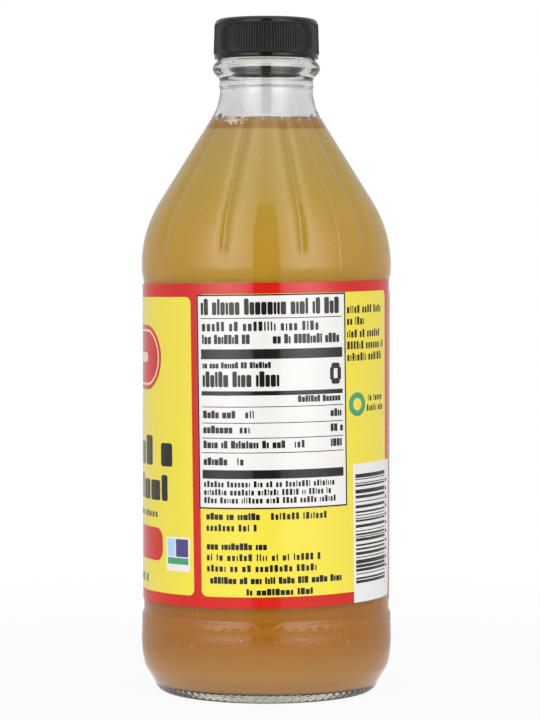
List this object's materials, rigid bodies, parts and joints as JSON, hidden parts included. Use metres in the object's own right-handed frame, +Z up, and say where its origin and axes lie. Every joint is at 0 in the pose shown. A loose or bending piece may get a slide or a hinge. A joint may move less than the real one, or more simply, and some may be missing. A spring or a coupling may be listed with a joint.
{
  "type": "vinegar bottle",
  "caption": "Round clear glass bottle with a grooved sloping shoulder, full of cloudy amber vinegar, shut by a ribbed black screw cap and wrapped in a red and yellow paper label.",
  "frame": {"origin": "middle of the foot ring, on the plane the bottle stands on", "axes": "+Z up along the bottle's axis, -Y out of the side with the facts table, +X to the right seen from that side"},
  "size_m": [0.0706, 0.0706, 0.1894],
  "materials": {
    "clear_glass": "polished, faintly green where thick",
    "vinegar": "cloudy amber liquid",
    "black_plastic": "satin moulded",
    "label_paper": "glossy printed paper"
  },
  "bodies": {
    "root": {"bottle_glass": "clear_glass", "vinegar": "vinegar", "cap": "black_plastic", "label": "label_paper"}
  },
  "joints": []
}
